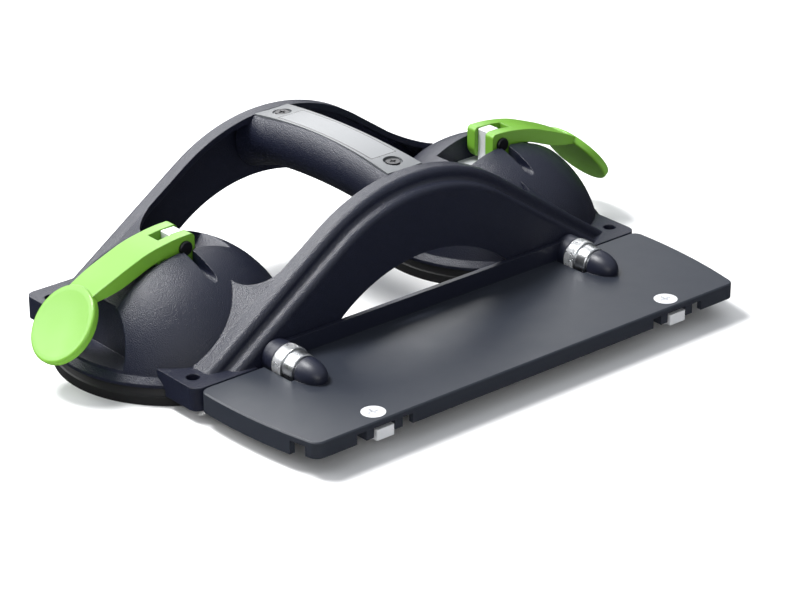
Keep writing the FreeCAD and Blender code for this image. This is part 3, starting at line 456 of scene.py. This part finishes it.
class LIFTER_OT_finishes(bpy.types.Operator):
    """Give every construction piece its finish"""
    bl_idname = "lifter.finishes"
    bl_label = "Finishes"

    def execute(self, context):
        settings = context.scene.lifter_plastic
        assign(grained_plastic(settings), "front_arch", "back_arch", "grip", *both("cup_housing"))
        assign(satin_plastic(settings), "adapter_plate", *both("clamp_sleeve"))
        assign(cover_plastic(settings), "grip_cover")
        assign(label_film(settings), "label_panel")
        assign(lever_plastic(settings), *both("cam_lever"))
        assign(rubber(settings), *both("suction_pad"))
        assign(dark_steel(), "cover_screws", *both("lever_pin", "pin_clip"))
        zinc = steel("zinc_steel", (0.80, 0.81, 0.83), 0.34, (1.0, 1.0, 8.0), 0.1, metallic=0.35)
        assign(zinc, *both("pad_core", "pull_stud", "cam_saddle", "rail_jaw", "rail_screw", "clamp_stud"))
        assign(steel("spring_wire", (0.5, 0.51, 0.53), 0.3, EVEN, 0.1), *both("return_spring"))
        assign(steel("insert_brass", (0.72, 0.5, 0.2), 0.3, (1.0, 6.0, 1.0), 0.1), "thread_inserts")
        assign(steel("nickel_steel", (0.74, 0.75, 0.76), 0.24, (1.0, 10.0, 1.0), 0.25), *both("clamp_wheel"))
        return {"FINISHED"}


class LIFTER_OT_stage(bpy.types.Operator):
    """Add the floor, the soft lights and the camera"""
    bl_idname = "lifter.stage"
    bl_label = "Stage"

    def execute(self, context):
        settings = context.scene.lifter_studio
        self.floor(settings)
        self.surroundings(settings)
        self.lights()
        self.camera(context, settings)
        context.scene.view_settings.view_transform = "Standard"
        return {"FINISHED"}

    def floor(self, settings):
        bpy.ops.mesh.primitive_plane_add(size=settings.floor_size, location=(0, 0, 0))
        floor = bpy.context.object
        floor.name = "floor"
        shader = Shader("floor_white", (0.86, 0.86, 0.86), 0.9, Specular_IOR_Level=0.1)
        floor.data.materials.append(shader.material)
        floor.visible_glossy = False

    def surroundings(self, settings):
        """White for the camera, and for reflections a soft room that is brightest overhead."""
        world = bpy.data.worlds.new("studio")
        bpy.context.scene.world = world
        world.use_nodes = True
        tree = world.node_tree
        tree.nodes.clear()
        output = tree.nodes.new("ShaderNodeOutputWorld")
        place = tree.nodes.new("ShaderNodeTexCoord")
        split = tree.nodes.new("ShaderNodeSeparateXYZ")
        ramp = tree.nodes.new("ShaderNodeMapRange")
        ramp.interpolation_type = "SMOOTHSTEP"
        for socket, value in ROOM_RAMP:
            ramp.inputs[socket].default_value = value
        tree.links.new(place.outputs["Generated"], split.inputs["Vector"])
        tree.links.new(split.outputs["Z"], ramp.inputs["Value"])
        room = tree.nodes.new("ShaderNodeBackground")
        room.inputs["Color"].default_value = ROOM_COLOR
        scale = tree.nodes.new("ShaderNodeMath")
        scale.operation = "MULTIPLY"
        scale.inputs[1].default_value = settings.sky
        tree.links.new(ramp.outputs["Result"], scale.inputs[0])
        tree.links.new(scale.outputs["Value"], room.inputs["Strength"])
        seen = tree.nodes.new("ShaderNodeBackground")
        seen.inputs["Strength"].default_value = BACKDROP
        path = tree.nodes.new("ShaderNodeLightPath")
        mix = tree.nodes.new("ShaderNodeMixShader")
        tree.links.new(path.outputs["Is Camera Ray"], mix.inputs["Fac"])
        tree.links.new(room.outputs["Background"], mix.inputs[1])
        tree.links.new(seen.outputs["Background"], mix.inputs[2])
        tree.links.new(mix.outputs["Shader"], output.inputs["Surface"])

    def light(self, name, place, aim, size, power):
        bpy.ops.object.light_add(type="AREA", location=place)
        lamp = bpy.context.object
        lamp.name = name
        lamp.data.shape = "RECTANGLE"
        lamp.data.size, lamp.data.size_y = size
        lamp.data.energy = power
        lamp.rotation_euler = (Vector(aim) - Vector(place)).to_track_quat("-Z", "Y").to_euler()

    def lights(self):
        for lamp in LAMPS:
            self.light(*lamp)

    def camera(self, context, settings):
        turn = Vector((math.sin(settings.azimuth) * math.cos(settings.elevation),
                       -math.cos(settings.azimuth) * math.cos(settings.elevation),
                       math.sin(settings.elevation)))
        place = Vector(settings.aim) + turn * settings.distance
        bpy.ops.object.camera_add(location=place)
        camera = context.object
        camera.name = "camera"
        camera.rotation_euler = (-turn).to_track_quat("-Z", "Y").to_euler()
        camera.data.lens = settings.lens
        camera.data.sensor_width = 36.0
        camera.data.clip_end = 50.0
        context.scene.camera = camera


class LIFTER_PT_panel(bpy.types.Panel):
    """Lists the steps that dress the lifter"""
    bl_label = "Suction lifter"
    bl_idname = "LIFTER_PT_panel"
    bl_space_type = "VIEW_3D"
    bl_region_type = "UI"
    bl_category = "Lifter"

    def draw(self, context):
        for step in STEPS:
            self.layout.operator("lifter." + step)
        for group in ("lifter_studio", "lifter_plastic", "lifter_wheel"):
            settings = getattr(context.scene, group)
            column = self.layout.column(align=True)
            for name in settings.bl_rna.properties.keys():
                if name not in ("rna_type", "name"):
                    column.prop(settings, name)


STEPS = ("stage", "finishes", "wheels")
CLASSES = (StudioSettings, PlasticSettings, WheelSettings, LIFTER_OT_finishes, LIFTER_OT_wheels,
           LIFTER_OT_stage, LIFTER_PT_panel)


def register():
    for item in CLASSES:
        bpy.utils.register_class(item)
    bpy.types.Scene.lifter_studio = PointerProperty(type=StudioSettings)
    bpy.types.Scene.lifter_plastic = PointerProperty(type=PlasticSettings)
    bpy.types.Scene.lifter_wheel = PointerProperty(type=WheelSettings)


def unregister():
    for name in ("lifter_wheel", "lifter_plastic", "lifter_studio"):
        delattr(bpy.types.Scene, name)
    for item in reversed(CLASSES):
        bpy.utils.unregister_class(item)


def main():
    register()
    for step in STEPS:
        getattr(bpy.ops.lifter, step)()


if __name__ == "__main__":
    main()
